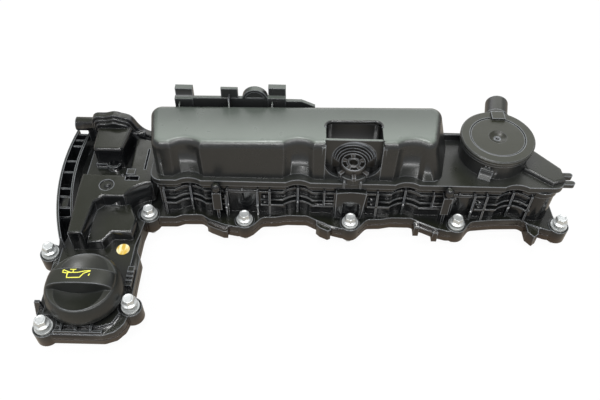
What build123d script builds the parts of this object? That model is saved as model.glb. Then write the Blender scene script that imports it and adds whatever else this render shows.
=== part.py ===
from build123d import *
import math
import os

# Camshaft (valve) cover of a four-cylinder diesel engine.  Millimetres, +Z up.
# X runs along the front bolt row, Y points to the back, Z = 0 is the bench the cover stands on.
# Everything is drawn in the "bolt frame" (origin on the gasket face under the third front bolt)
# and moved as one when it is written, so that its footprint is centred on the origin.

# ---- driving dimensions -------------------------------------------------------------------
PITCH = 88.0                   # cylinder bore pitch, which the front bolts follow
GASKET_FACE = 10.0             # height of the gasket face above the bench

WALL = 2.8                     # moulded wall
FLANGE_TOP = 14.0              # top of the sealing flange
FLANGE_LIP = 6.6               # height of the lower flange band
GROOVE = 1.0                   # depth and height of the line between the flange bands
GASKET_INSET = 5.0             # middle of the gasket behind the flange edge
GASKET_HALF = 1.7
BOLT_CLEAR = 6.0               # radius around each bolt that the gasket stays out of
BOSS_R = 8.4
BOSS_TOP = 14.5

SKIRT_Y = 11.0                 # front wall of the ribbed skirt
SKIRT_BACK = 66.0
SKIRT_LEFT = -157.0
COLUMN_X = 155.5               # round column that ends the skirt on the right
COLUMN_Y = 20.0
COLUMN_R = 12.5
SKIRT_TOP = 44.0
WELD_Z = 48.5                  # weld plane between the lower and the upper moulding
SCALLOP_R = 17.0
SCALLOP_DEPTH = 4.5

PLATE_FRONT = 8.0              # upper moulding: its weld flange
PLATE_BACK = 66.0
PLATE_LEFT = -163.0
PLATE_RIGHT = 171.0
PLATE_TOP = 54.0
BOX_LEFT = -157.0              # separator box, measured at the weld flange
BOX_RIGHT = 71.0
BOX_FRONT = 12.5
BOX_TOP_LEFT = 88.5            # the roof climbs gently to the right
BOX_TOP_RIGHT = 93.5
BOX_FOOT = [(-158.0, 12.5), (72.0, 12.5), (83.0, 62.0), (-165.0, 62.0)]
BOX_ROOF = [(-157.5, 14.0), (61.0, 14.0), (70.5, 60.0), (-165.5, 60.0)]
BOX_EDGE = 6.5

ALCOVE_HALF = 22.0             # recess for the engine-cover mount
ALCOVE_X = -1.0
ALCOVE_BACK = 40.5
ARCH_HALF = 17.4               # arched opening in the plate in front of the mount
ARCH_Z = 72.0
HUB_Z = 66.0
HUB_Y = 21.0

VALVE_X = 117.2                # pressure regulating valve
VALVE_Y = 44.7
VALVE_R = 30.0
VALVE_SEAT = 71.8              # underside of the snap-on lid
SPIGOT_R = 9.6
SPIGOT_BORE = 7.4
SPIGOT_Z = 62.0
SPIGOT_TURN = 12.0             # degrees to the right of straight back

RIM_X = -17.1                  # middle and radius of the curved left rim
RIM_Y = 53.1
RIM_R = 230.6
RIM_TOP = 30.0
DECK = 17.0                    # floor around the filler cap
PAD_TOP = 27.0
LEG_TOP = 39.0
TROUGH = 28.0
TOWER_TOP = 50.0

CAP_X = -202.0
CAP_Y = -76.8
CAP_BASE = 20.0
CAP_RIM = 35.0                 # height of the rim of the cap's face
CAP_R = 29.0
CAP_FACE_R = 25.4
GRIP_TOP = 43.0
GRIP_HALF = 7.0
SCOOP_R = 36.0
SCOOP_DEPTH = 5.0
NECK_R = 19.4
NECK_BORE = 16.4
PLUG_R = 16.0

BOLT_R = 3.0                   # M6
BOLT_LENGTH = 25.0             # under the head
THREAD_LENGTH = 4.2            # with its point
POINT = 0.8                    # chamfer of the thread's end
SHANK_R = 2.6                  # waist that keeps the bolt captive in its sleeve
HEX_HALF = 4.0                 # half of the hexagon's width across flats
HEAD_TOP = 6.2                 # top of the head above the underside of its flange
SLEEVE_BORE = 3.3
SLEEVE_R = 4.6
SLEEVE_RING_R = 6.8
SLEEVE_RING = 1.6

# name, x, y, lift above its seat, in the state in which the cover stands here
BOLTS = [
    ("f1", -168.2, 4.0, 1.2),
    ("f2", -PITCH, 0.5, 0.8),
    ("f3", 0.0, 0.0, 0.6),
    ("f4", PITCH + 1.0, 0.8, 1.8),
    ("f5", 2 * PITCH - 1.0, 2.0, 2.6),
    ("a", -227.6, -104.2, 3.4),
    ("b", -240.2, -37.6, 2.0),
    ("c", -167.4, -85.4, 4.4),
    ("r1", -212.0, 97.0, 1.0),
    ("r2", -1.5 * PITCH, 77.0, 1.0),
    ("r3", -0.5 * PITCH, 77.0, 1.0),
    ("r4", 0.5 * PITCH, 77.0, 1.0),
    ("r5", 1.5 * PITCH, 77.0, 1.0),
]

os.makedirs("parts", exist_ok=True)


def prism(outline, low, high):
    """A flat outline raised between two heights."""
    return Pos(0, 0, low) * extrude(outline, high - low)


def rect(x0, y0, x1, y1):
    """Rectangle between two corners."""
    return Pos((x0 + x1) / 2, (y0 + y1) / 2) * Rectangle(x1 - x0, y1 - y0)


def block(x0, y0, z0, x1, y1, z1):
    """Box between two corners."""
    return Pos((x0 + x1) / 2, (y0 + y1) / 2, (z0 + z1) / 2) * Box(x1 - x0, y1 - y0, z1 - z0)


def poly(*points):
    """Closed straight-sided outline."""
    return make_face(Polyline(*points, close=True))


def tube(x, y, low, high, radius):
    """Upright cylinder between two heights."""
    return Pos(x, y, (low + high) / 2) * Cylinder(radius, high - low)


def top_edges(shape, height):
    """Edges that lie flat at one height."""
    return shape.edges().filter_by(lambda e: abs(e.bounding_box().max.Z - height) < 0.01
                                   and abs(e.bounding_box().min.Z - height) < 0.01)


def soften(shape, edges, radius):
    """Round edges, by less where the full radius doesn't fit."""
    for size in (radius, radius * 0.7, radius * 0.4):
        try:
            return fillet(edges, size)
        except Exception:
            continue
    return shape


def scallops(front, low, high, columns, radius=SCALLOP_R, depth=SCALLOP_DEPTH):
    """Upright grooves that clear the injectors, half way between the front bolts."""
    tools = [tube(x, front + depth - radius, low, high, radius) for x in columns]
    return Part() + tools


MID_BAYS = [-1.5 * PITCH, -0.5 * PITCH, 0.5 * PITCH]


# ---- sealing flange outline -----------------------------------------------------------------
def bay(x, lug):
    """Front edge of the flange from one bolt to the next: bulge, wave, lug slope."""
    return [(x + 6, -6.0), (x + 14.5, 4.2), (x + 26, 4.8), (x + 35, 6.8), (x + 52, 6.8),
            (x + 58, 3.4), (x + 72, lug), (x + 81, -6.2)]


def flange_outline():
    """The closed outline of the sealing flange, without the round bosses."""
    front = [(-171.0, -3.0), (-162.0, 2.0), (-146.0, 2.4), (-140.0, 5.2), (-124.5, 5.6),
             (-118.5, 1.0), (-104.0, -4.6), (-94.0, -6.6)]
    for x in (-PITCH, 0.0):
        front += bay(x, -3.6)
    right = [(PITCH + 6, -6.0), (PITCH + 14.5, 4.6), (122.0, 7.0), (145.0, 8.0), (150.0, 3.6),
             (165.0, -2.5), (175.0, -4.5), (173.0, 14.0), (172.0, 48.0), (146.0, 80.0)]
    leg = [(-180.0, 80.0), (-184.0, 96.0), (-236.0, 96.0), (-246.0, 82.0), (-249.0, 56.0),
           (-247.0, 24.0), (-242.0, -4.0), (-236.0, -28.0), (-236.0, -96.0), (-225.0, -109.8)]
    corner = [(-184.0, -109.8), (-175.5, -106.6), (-170.0, -100.0), (-168.0, -92.0)]
    inner = [(-168.5, -62.0), (-168.5, -40.0), (-171.8, -34.0)]
    return poly(*(front + right + leg + corner + inner))


CORNERED = flange_outline()
OUTLINE = soften(CORNERED, CORNERED.vertices(), 6.0)


def skirt_outline(inset=0.0):
    """Plan of the ribbed skirt above the flange, or of the gallery inside it."""
    plan = poly((SKIRT_LEFT, SKIRT_Y), (COLUMN_X, SKIRT_Y), (COLUMN_X + 10.0, COLUMN_Y + 7.5),
                (150.0, 46.0), (137.0, SKIRT_BACK), (SKIRT_LEFT, SKIRT_BACK))
    if inset:
        plan = offset(plan, -inset, kind=Kind.INTERSECTION)
    plan += Pos(COLUMN_X, COLUMN_Y) * Circle(COLUMN_R - inset)
    for x in MID_BAYS + [1.5 * PITCH]:
        plan -= Pos(x, SKIRT_Y + SCALLOP_DEPTH - SCALLOP_R) * Circle(SCALLOP_R + inset)
    return plan


def leg_outline():
    """Plan of the leg's closed part."""
    return poly((-232.0, 82.0), (-236.5, 55.0), (-234.0, 20.0), (-228.0, -10.0), (-231.0, -34.0),
                (-231.0, -94.0), (-222.0, -104.0), (-186.0, -104.0), (-178.0, -101.0),
                (-174.0, -92.0), (-173.5, -30.0), (-168.0, 8.0), (-168.0, 66.0), (-178.0, 88.0),
                (-222.0, 88.0))


def leg_space():
    """Plan of the space under the leg's deck, clear of the gasket's seat."""
    return poly((-229.0, 80.0), (-233.5, 55.0), (-231.0, 20.0), (-225.0, -10.0), (-225.0, -86.0),
                (-215.0, -97.0), (-188.0, -97.0), (-179.5, -92.0), (-180.0, -28.0),
                (-174.0, 12.0), (-174.0, 62.0), (-181.0, 82.0), (-222.0, 82.0))


# ---- cover body -------------------------------------------------------------------------------
def leg_plate():
    """Plan of the leg's raised plate, with the strip beside the tower."""
    edge = Polyline((-164.7, 18.4), (-164.7, 66.0), (-187.2, 66.0), (-186.0, 36.0), (-187.8, 33.0),
                    (-187.8, 27.0), (-224.5, 27.5), (-224.5, 10.0), (-222.0, -35.0), (-210.5, -35.0),
                    (-208.0, -3.0), (-202.0, 3.0), (-185.0, 3.0))
    return make_face(edge + ThreePointArc((-185.0, 3.0), (-179.0, 12.2), (-164.7, 18.4)))


def leg_upper():
    """Decks, tower and camshaft arch of the leg, as one solid mass before it is hollowed."""
    deck = prism(leg_outline(), 1, DECK)
    plate = prism(leg_plate(), DECK - 1, LEG_TOP)
    plate = soften(plate, top_edges(plate, LEG_TOP), 2.4)
    pad = prism(poly((-212.0, 4.0), (-209.5, -34.5), (-197.5, -34.5), (-191.5, -24.5),
                     (-176.0, -24.5), (-174.5, -10.0), (-182.0, 6.0)), DECK - 1, PAD_TOP)
    pad = soften(pad, top_edges(pad, PAD_TOP), 2.0)
    trough = block(-225, 24, DECK - 1, -170, 66, TROUGH)
    tower = prism(poly((-217.5, 45.0), (-219.5, 84.0), (-192.0, 84.0), (-189.5, 66.0),
                       (-193.0, 45.0)), DECK - 1, TOWER_TOP)
    uprights = tower.edges().filter_by(Axis.Z).sort_by(Axis.Y)[:2]
    tower = soften(tower, uprights, 4.0)
    tower = soften(tower, top_edges(tower, TOWER_TOP), 2.6)
    arch = Part()
    for inset, front in ((0.0, 70.5), (2.2, 67.2), (4.6, 64.0)):
        arch += camshaft_arch(inset, front, 81.0, DECK - 1)
    ledge = block(-192.5, 66.5, TROUGH, -179.5, 73.0, 42.5) + block(-217.5, 43.6, TROUGH, -206, 46, 33)
    pocket = tube(-202.5, 45.5, DECK, 33, 6.2) - tube(-202.5, 45.5, 30.5, 34, 4.2)
    return deck + plate + pad + trough + tower + arch + ledge + pocket


def camshaft_arch(inset, front, back, foot):
    """Saddle over the camshaft's end, or the space inside it: steep left, sloping right."""
    shape = [(-224.5, 53.0, -1.0, 0.4), (-220.0, 58.2, -0.4, 1.0), (-211.0, 58.8, 0.0, 1.0),
             (-204.5, 60.4, 0.0, 1.0), (-198.0, 58.8, 0.2, 1.0), (-191.0, 56.0, 0.5, 0.8),
             (-186.4, 48.0, 0.9, 0.5), (-181.0, 40.6, 0.6, 0.8), (-173.0, 37.2, 1.0, 1.0)]
    ridge = [(x - out_x * inset, z - out_z * inset) for x, z, out_x, out_z in shape]
    sides = Polyline(ridge[-1], (ridge[-1][0], foot), (ridge[0][0], foot), ridge[0])
    saddle = make_face(Spline(*ridge) + sides)
    arch = Pos(0, (front + back) / 2, 0) * (Plane.XZ * extrude(saddle, (back - front) / 2, both=True))
    front_edge = arch.edges().filter_by(lambda e: e.bounding_box().max.Y < front + 0.01
                                        and e.bounding_box().max.Z > TOWER_TOP)
    return soften(arch, front_edge, 1.6)


def leg_hollow():
    """Space inside the leg, open below."""
    low = prism(leg_space(), -1, DECK - WALL)
    under_plate = prism(poly((-221.5, 24.5), (-219.0, -32.0), (-213.5, -32.0), (-211.0, 6.0),
                             (-190.0, 13.0), (-190.0, 24.5)), 0, LEG_TOP - WALL)
    under_tower = block(-214.7, 49, 0, -195.5, 80, TOWER_TOP - WALL)
    under_arch = camshaft_arch(WALL, 73.3, 78.0, 0.0) + camshaft_arch(WALL + 4.6, 67.0, 78.0, 0.0)
    slots = block(-187.4, 20.6, LEG_TOP - 5, -176.6, 25.0, LEG_TOP + 1)
    slots += block(-173.8, 33, LEG_TOP - 6, -172.4, 57, LEG_TOP + 1)
    slots += tube(-201.5, 14.7, LEG_TOP - 0.9, LEG_TOP + 1, 5.8)
    return low + under_plate + under_tower + under_arch + slots


def rim():
    """Curved wall along the leg's left side, with a laddered double wall over its upper part."""
    radii = [RIM_R, RIM_R - 2.0, RIM_R - 11.0, RIM_R - 13.0]
    discs = [Pos(RIM_X, RIM_Y) * Circle(radius) for radius in radii]
    whole = rect(-260, -34, -215, 88)
    laddered = rect(-260, -12, -215, 88)
    walls = (discs[0] - discs[1]) & whole
    walls += (discs[2] - discs[3]) & laddered
    band = discs[0] - discs[3]
    ladder = prism(walls, 1, RIM_TOP) + prism(band & whole, 1, FLANGE_TOP)
    for y in (-12.0, -2.0, 10.0, 19.0, 37.5, 50.5, 69.0, 76.5, 84.0):
        ladder += prism(rect(-260, y - 0.9, -215, y + 0.9) & band, 1, RIM_TOP - 1.5)
    roll = Pos(-235.9, 4.0, RIM_TOP - 7.2) * Rot(90, 0, 0) * Cylinder(5.6, 12.0)
    return ladder + roll


def front_ribs():
    """Horizontal ribs and upright webs of the skirt, and the panel over the middle bolt."""
    columns = MID_BAYS + [1.5 * PITCH]
    ribs = Part()
    for front, low, high in ((6.4, 26.8, 28.4), (7.2, 32.4, 34.0), (8.6, 40.0, 42.0)):
        rail = rect(-154, front, 148, SKIRT_Y + 1.5)
        for x in columns:
            rail += Pos(x, 12) * Rectangle(22, 7)
            rail -= Pos(x, front + 5.2 - SCALLOP_R) * Circle(SCALLOP_R)
        if high < SKIRT_TOP - 3:
            for x in (-PITCH, 0.0, PITCH + 1.0):
                rail -= Pos(x, 2) * Rectangle(27, 30)
        ribs += prism(rail, low, high)
    for x in (-PITCH, 0.0, PITCH + 1.0):
        for step in (-13.6, 11.0, 21.0):
            ribs += block(x + step - 0.8, 6.4, 13, x + step + 0.8, SKIRT_Y + 1, SKIRT_TOP)
        ribs += block(x - 23.3, 6.4, 28, x - 21.7, SKIRT_Y + 1, SKIRT_TOP)
    for x in (-PITCH, PITCH + 1.0):
        ribs += block(x - 2.0, 8.6, 30, x - 0.8, SKIRT_Y + 1, SKIRT_TOP)
    for x in columns:
        ribs += block(x - 0.8, 11.2, 13, x + 0.8, SKIRT_Y + 6, SKIRT_TOP)
    for x in (-153.0, 146.0):
        ribs += block(x - 0.8, 6.4, 13, x + 0.8, SKIRT_Y + 1, SKIRT_TOP)
    panel = Plane.XZ * extrude(poly((-12.8, 13.0), (-12.8, 45.6), (11.4, 45.6), (8.8, 13.0)), -6.2)
    return ribs + Pos(0, 5.8, 0) * panel


def ball_post(x):
    """Post with a ball head, for clipping the engine's trim and lines."""
    post = block(x - 3.6, 1.5, 26, x + 3.6, SKIRT_Y + 1, 46)
    post += block(x - 1.2, 3.0, 13, x + 1.2, SKIRT_Y + 1, 26.5)
    post += block(x + 6.0, 5.0, 13, x + 7.4, SKIRT_Y + 1, 40)
    ball = Polyline((0, -4.0), (2.2, -3.4), (3.7, -1.6), (3.7, 1.6), (2.2, 3.4), (0, 4.0), close=True)
    post += Pos(x, 3.6, 51.6) * revolve(Plane.XZ * make_face(ball), Axis.Z)
    return post + tube(x, 3.6, 45, 49, 1.9)


def front_lugs():
    """Locating lugs on the flange's front edge."""
    lugs = prism(poly((-119.5, 4.0), (-119.5, -1.5), (-116.0, -3.6), (-105.5, -8.2),
                      (-102.0, -8.2), (-102.0, 4.0)), 0.6, 9.5)
    lugs += prism(poly((-27.0, 6.0), (-28.0, -1.6), (-25.0, -4.8), (-18.5, -8.0), (-16.0, -6.8),
                       (-16.0, 6.0)), 0.6, 13.0)
    for x, y in ((56.5, -1.4), (71.5, -7.0)):
        lugs += block(x - 2.2, y, 0.6, x + 2.2, y + 9, 11.5)
    lugs += prism(poly((54.5, 4.5), (54.5, 1.5), (73.5, -5.8), (73.5, 0.0)), 4.2, 9.8)
    lugs += prism(poly((148.5, 9.0), (148.5, -4.0), (153.0, -9.6), (157.0, -6.4), (160.0, 4.0)),
                  0.6, 13.0)
    return lugs


def bolt_bosses():
    """Round bosses, with webs back to the skirt."""
    bosses = Part()
    for name, x, y, _ in BOLTS:
        bosses += tube(x, y, 1, BOSS_TOP, BOSS_R)
    return bosses


def cover_body():
    """The lower moulding: flange, skirt, leg, bosses, neck."""
    body = prism(OUTLINE, 1.0, FLANGE_LIP)
    body += prism(OUTLINE, FLANGE_LIP + GROOVE, FLANGE_TOP)
    body += prism(offset(OUTLINE, -GROOVE, kind=Kind.INTERSECTION), 1.0, FLANGE_TOP)
    body += bolt_bosses() + front_lugs()
    body += prism(skirt_outline(), 1, SKIRT_TOP)
    neck = skirt_outline(-1.0) & rect(-200, 0, 200, SKIRT_BACK)
    body += prism(neck, SKIRT_TOP - 1, WELD_Z)
    body += tube(COLUMN_X, COLUMN_Y, 1, WELD_Z, COLUMN_R)
    body += leg_upper() + rim() + front_ribs()
    for x in (-109.5, 77.0):
        body += ball_post(x)
    body += tube(CAP_X, CAP_Y, DECK - 1, CAP_BASE - 0.6, NECK_R + 2.0)
    body -= prism(skirt_outline(WALL), -1, SKIRT_TOP - WALL)
    body -= leg_hollow()
    body += peg() + deck_details()
    body += tube(CAP_X, CAP_Y, -GASKET_FACE, CAP_BASE - 0.6, NECK_R)
    body -= tube(CAP_X, CAP_Y, -GASKET_FACE - 1, CAP_BASE + 1, NECK_BORE)
    for _, x, y, _ in BOLTS:
        body -= tube(x, y, 0, BOSS_TOP, SLEEVE_R)
        body -= tube(x, y, BOSS_TOP, LEG_TOP + 1, BOSS_R + 0.8)
    for x in (-120.0, -44.0, 32.0, 90.0):
        body -= block(x - 14, 24, SKIRT_TOP - WALL - 1, x + 14, 52, WELD_Z + 1)
    body -= gasket_ring(0.5, 4.2, 0.1)
    return body


def gasket_ring(low, high, margin):
    """Rubber bead inside the flange, which passes behind every bolt."""
    outer = offset(CORNERED, GASKET_HALF + margin - GASKET_INSET, kind=Kind.INTERSECTION)
    inner = offset(CORNERED, -GASKET_HALF - margin - GASKET_INSET, kind=Kind.INTERSECTION)
    for _, x, y, _ in BOLTS:
        outer -= Pos(x, y) * Circle(BOLT_CLEAR - margin)
        inner -= Pos(x, y) * Circle(BOLT_CLEAR + 2 * GASKET_HALF + margin)
    return prism(outer - inner, low, high)


def peg():
    """Hose peg that points left from the arch."""
    return Pos(-232, 85, 41) * Rot(0, 90, 0) * Cylinder(6.0, 20) + block(-232, 80, 24, -222, 88, 40)


def deck_details():
    """Small moulded details of the leg: dimple, fin, front ribs, clip block."""
    parts = Pos(-200.8, 14.2, LEG_TOP - 1.6) * Sphere(2.8)
    parts += Pos(-184.9, 21.7, LEG_TOP - 2.0) * Sphere(1.6) + Pos(-190.5, 25.9, LEG_TOP - 0.5) * Sphere(1.5)
    fin = poly((-240.0, 6.0), (-236.5, 24.0), (-232.5, 24.0), (-231.5, 6.0))
    parts += Pos(0, -88, 0) * (Plane.XZ * extrude(fin, 1.0, both=True))
    for x in (-214.0, -203.0, -192.0):
        parts += block(x - 0.8, -108.0, 13, x + 0.8, -100.0, 18.5)
    parts += prism(rect(-222, -109.0, -184, -107.0), 13, 17.0)
    parts += block(-174.5, -70.0, 13, -169.5, -52.0, 19.5)
    for y in (-66.0, -62.0, -58.0):
        parts += block(-174.0, y - 0.7, 19, -169.0, y + 0.7, 21.0)
    parts += block(-187.6, 26.6, LEG_TOP - 2, -180.4, 32.8, LEG_TOP + 0.7)
    return parts


# ---- separator box ------------------------------------------------------------------------------
def roof_plane(x):
    """Height of the box roof above the gasket face."""
    share = (x - BOX_LEFT) / (BOX_RIGHT - BOX_LEFT)
    return BOX_TOP_LEFT + share * (BOX_TOP_RIGHT - BOX_TOP_LEFT)


def box_shell(inset, low):
    """The separator box, or the space inside it, before its edges are rounded."""
    top = 100.0
    corner = max(9.0 - inset, 2.0)
    outlines = [poly(*BOX_FOOT), poly(*BOX_ROOF)]
    if inset:
        outlines = [offset(outline, -inset, kind=Kind.INTERSECTION) for outline in outlines]
    foot, roof = [fillet(outline.vertices(), corner) for outline in outlines]
    body = loft([Pos(0, 0, low) * foot, Pos(0, 0, BOX_TOP_RIGHT + 1) * roof])
    left, right = BOX_LEFT - 16, BOX_RIGHT + 16
    cutter = poly((left, roof_plane(left) - inset), (left, top + 5), (right, top + 5),
                  (right, roof_plane(right) - inset))
    body -= Plane.XZ * extrude(cutter, 100, both=True)
    body -= scallops(BOX_FRONT, low - 1, top + 1, MID_BAYS,
                     SCALLOP_R + inset, SCALLOP_DEPTH + 1.0 + inset)
    return body


def separator_box():
    """The upper moulding: weld flange, box, valve bowl, arm, rear brackets."""
    plate = poly((PLATE_LEFT, PLATE_FRONT), (PLATE_RIGHT, PLATE_FRONT), (PLATE_RIGHT, 22.0),
                 (152.0, 48.0), (140.0, PLATE_BACK), (PLATE_LEFT, PLATE_BACK))
    plate = fillet(plate.vertices(), 9)
    for x in MID_BAYS + [1.5 * PITCH]:
        plate -= Pos(x, PLATE_FRONT + 3.0 - SCALLOP_R) * Circle(SCALLOP_R)
    flange = prism(plate, WELD_Z, PLATE_TOP)
    box = box_shell(0.0, WELD_Z)
    roof_edges = box.edges().filter_by(lambda e: e.center().Z > BOX_TOP_LEFT - 3
                                       and e.bounding_box().size.Z < 8)
    box = soften(box, roof_edges, BOX_EDGE)
    body = flange + box
    body -= box_shell(WALL, WELD_Z - 1)
    body -= prism(rect(PLATE_LEFT + 12, 20, 150, PLATE_BACK - 8), WELD_Z - 1, PLATE_TOP - WALL)
    body += alcove_walls()
    body -= alcove_space()
    body += mount_hood()
    body += valve_bowl() + bridge() + end_arm() + rear_brackets() + guide_rails()
    body -= valve_passages()
    return body


def alcove_walls():
    """Walls of the recess in the front of the box."""
    width = ALCOVE_HALF + WALL
    walls = block(ALCOVE_X - width, BOX_FRONT + 1, PLATE_TOP - WALL, ALCOVE_X + width,
                  ALCOVE_BACK + WALL, 88)
    return walls


def alcove_space():
    """The recess itself: open to the front and at the top."""
    space = Pos(ALCOVE_X, 0, 0) * prism(rect(-ALCOVE_HALF, -5, ALCOVE_HALF, ALCOVE_BACK),
                                        PLATE_TOP, 110)
    back = space.edges().filter_by(Axis.Z).sort_by(Axis.Y)[-2:]
    space = fillet(back, 5.0)
    return space


def mount_hood():
    """Plate across the recess with an arched opening, and the sill that carries the mount."""
    plate = block(ALCOVE_X - ALCOVE_HALF - 1, 19.8, ARCH_Z - 8, ALCOVE_X + ALCOVE_HALF + 1, 21.6, 91.0)
    arch = Pos(0, 20, ARCH_Z) * Rot(90, 0, 0) * Cylinder(ARCH_HALF, 10)
    arch += block(-ARCH_HALF, 15, 50, ARCH_HALF, 25, ARCH_Z)
    sill = tube(0, HUB_Y, PLATE_TOP - 1, 59.6, 13.6)
    return plate - arch + sill


def guide_rails():
    """Pair of rails that run down from the mount to the flange edge."""
    rails = Part()
    for x in (-7.2, 6.0):
        rails += block(x - 0.8, PLATE_FRONT - 0.6, WELD_Z + 0.5, x + 0.8, 18, PLATE_TOP + 2.5)
    return rails


def valve_bowl():
    """Bowl of the pressure regulating valve with its hose spigot and clip block."""
    bowl = tube(VALVE_X, VALVE_Y, WELD_Z, VALVE_SEAT, VALVE_R - 2.2)
    bowl += tube(VALVE_X, VALVE_Y, VALVE_SEAT - 3.0, VALVE_SEAT, VALVE_R - 0.6)
    bowl -= tube(VALVE_X, VALVE_Y, PLATE_TOP + 1.0, VALVE_SEAT + 1, VALVE_R - 5.0)
    seat = tube(VALVE_X, VALVE_Y, PLATE_TOP, 61.5, 8.4)
    clip = Pos(VALVE_X, VALVE_Y, 0) * Rot(0, 0, -112) * block(24, -5, PLATE_TOP, 31, 5, 64)
    root = Pos(VALVE_X, VALVE_Y, SPIGOT_Z) * Rot(0, 0, -SPIGOT_TURN)
    pipe = root * Pos(0, 39, 0) * Rot(90, 0, 0) * Cylinder(SPIGOT_R, 34)
    shoulder = root * Pos(0, 34.0, 0) * Rot(90, 0, 0) * Cylinder(SPIGOT_R + 1.2, 6.0)
    clear = tube(VALVE_X, VALVE_Y, PLATE_TOP + 1.0, VALVE_SEAT + 1, VALVE_R - 5.0)
    return bowl + seat + clip + ((pipe + shoulder) - clear)


def valve_passages():
    """Bores of the spigot and of the valve seat."""
    root = Pos(VALVE_X, VALVE_Y, SPIGOT_Z) * Rot(0, 0, -SPIGOT_TURN)
    bore = root * Pos(0, 41, 0) * Rot(90, 0, 0) * Cylinder(SPIGOT_BORE, 38)
    return bore + tube(VALVE_X, VALVE_Y, WELD_Z - 1, 70, 6.4)


def bridge():
    """Low wall behind the deck between box and valve."""
    return block(60, PLATE_BACK - 5, PLATE_TOP - 1, 98, PLATE_BACK - 2.5, 60)


def end_arm():
    """Arm at the right end, with the two-pronged harness clip."""
    arm = prism(poly((135.0, 52.0), (152.0, 48.0), (170.0, 27.5), (171.0, 15.0), (160.0, 10.5),
                     (140.0, 26.0)), WELD_Z, 58)
    arm = soften(arm, top_edges(arm, 58), 2.5)
    for y in (24.4, 15.8):
        arm += block(162, y - 2.3, 49, 177.5, y + 2.3, 53) + tube(177.5, y, 49, 53, 2.3)
    return arm


def rear_brackets():
    """Harness rail, hooks and stops behind the box."""
    rail = poly((-145.0, 76.0), (-145.0, 93.4), (-56.0, 95.0), (-56.0, 92.2), (-42.5, 92.2),
                (-31.5, 87.0), (-31.5, 76.0))
    parts = Pos(0, 62, 0) * (Plane.XZ * extrude(rail, -3.0))
    parts += prism(rect(-145, 56, -31.5, 63), 74, 78)
    for x, rise in ((-137.5, 0.0), (-62.5, 2.2)):
        parts += block(x - 7.0, 64.5, 86 + rise, x + 7.0, 69.5, 101 + rise)
        parts += block(x - 7.6, 61.0, 80, x + 7.2, 65.2, 93.4 + rise)
        parts += block(x - 4.2, 57.0, 78, x - 3.2, 62.0, 90 + rise)
    parts += block(-107.5, 62.5, 90, -93.8, 65.0, 103.4)
    parts += block(-101.4, 56.0, 80, -100.2, 63.0, 98)
    stop = Cylinder(10.4, 5.0) - Pos(0, 0, 2.2) * Cylinder(7.8, 1.6)
    return parts + Pos(-80.3, 64.5, 92.6) * Rot(90, 0, 0) * stop


# ---- hidden and small pieces ---------------------------------------------------------------------
def baffle_plate():
    """Plate under the separator with labyrinth ribs and two drain tubes that reach down."""
    plate = prism(rect(SKIRT_LEFT + 8, SKIRT_Y + 9, 133.0, SKIRT_BACK - 6), 37.6, 40.2)
    for x in (-120.0, -44.0, 20.0, 90.0):
        plate -= prism(rect(x - 9, 32, x + 9, 40), 36, 42)
    for x in range(-140, 120, 28):
        plate += block(x - 0.9, 24, 33, x + 0.9, 56, 38)
    for x in (-136.0, 66.0):
        plate += tube(x, 48, -GASKET_FACE, 38, 6.5)
        plate -= tube(x, 48, -GASKET_FACE - 1, 45, 4.2)
    for x in (-145.0, 128.0):
        plate += block(x - 4, 24, 40, x + 4, 56, SKIRT_TOP - WALL)
    return plate


def cap_envelope(crown):
    """Solid of revolution inside which the cap's face (low crown) or grip (high crown) stays."""
    high = CAP_RIM - CAP_BASE
    side = RadiusArc((CAP_R, 4.0), (CAP_FACE_R, high), -18.0)
    shell = Polyline((0, 0), (CAP_R - 0.6, 0), (CAP_R, 0.6), (CAP_R, 4.0)) + side
    if crown:
        shell += Spline((CAP_FACE_R, high), (21.5, high + 4.8), (13.0, high + 7.4), (0, high + crown),
                        tangents=((-0.5, 1.0), (-1.0, 0.0)))
        shell += Line((0, high + crown), (0, 0))
    else:
        shell += Polyline((CAP_FACE_R, high), (0, high), (0, 0))
    return revolve(Plane.XZ * make_face(shell), Axis.Z)


def filler_cap():
    """Screw cap with a straight grip that stands between two finger scoops."""
    high = CAP_RIM - CAP_BASE
    grip = cap_envelope(GRIP_TOP - CAP_RIM) & Box(80, 2 * GRIP_HALF, 100)
    cap = cap_envelope(0.0)
    for side in (-1, 1):
        hollow = Pos(0, side * GRIP_HALF, high + SCOOP_R - SCOOP_DEPTH) * Sphere(SCOOP_R)
        cap -= hollow & Pos(0, side * (GRIP_HALF + 50), high) * Box(100, 100, 60)
    cap += grip
    cap -= Pos(0, 0, 1.5) * (Cylinder(CAP_R - 3.0, 9.0) - Cylinder(NECK_BORE + 4.0, 9.0))
    cap -= Pos(0, 0, 0.6) * Cylinder(NECK_R + 1.8, 2.0)
    cap += Pos(0, 0, -5.0) * Cylinder(PLUG_R, 16)
    cap -= Pos(0, 0, -7.0) * Cylinder(PLUG_R - 2.6, 17)
    return Pos(CAP_X, CAP_Y, CAP_BASE) * cap


def cap_seal():
    """Flat rubber ring between the cap and the neck."""
    ring = tube(CAP_X, CAP_Y, CAP_BASE - 0.6, CAP_BASE + 1.6, NECK_R + 1.6)
    return ring - tube(CAP_X, CAP_Y, CAP_BASE - 2, CAP_BASE + 3, PLUG_R + 0.6)


def bolt(x, y, lift):
    """M6 flange bolt with a waisted shank, standing a little out of its seat."""
    seat = BOSS_TOP + SLEEVE_RING + lift
    tip = seat - BOLT_LENGTH
    hexagon = RegularPolygon(HEX_HALF, 6, major_radius=False)
    head = Pos(x, y, seat + 1.6) * extrude(hexagon, HEAD_TOP - 1.6)
    flange = tube(x, y, seat, seat + 1.8, 6.0)
    thread = tube(x, y, tip, tip + THREAD_LENGTH, BOLT_R)
    thread = chamfer(thread.edges().sort_by(Axis.Z)[0], POINT)
    return thread + tube(x, y, tip + 1, seat + 1, SHANK_R) + flange + head


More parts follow.
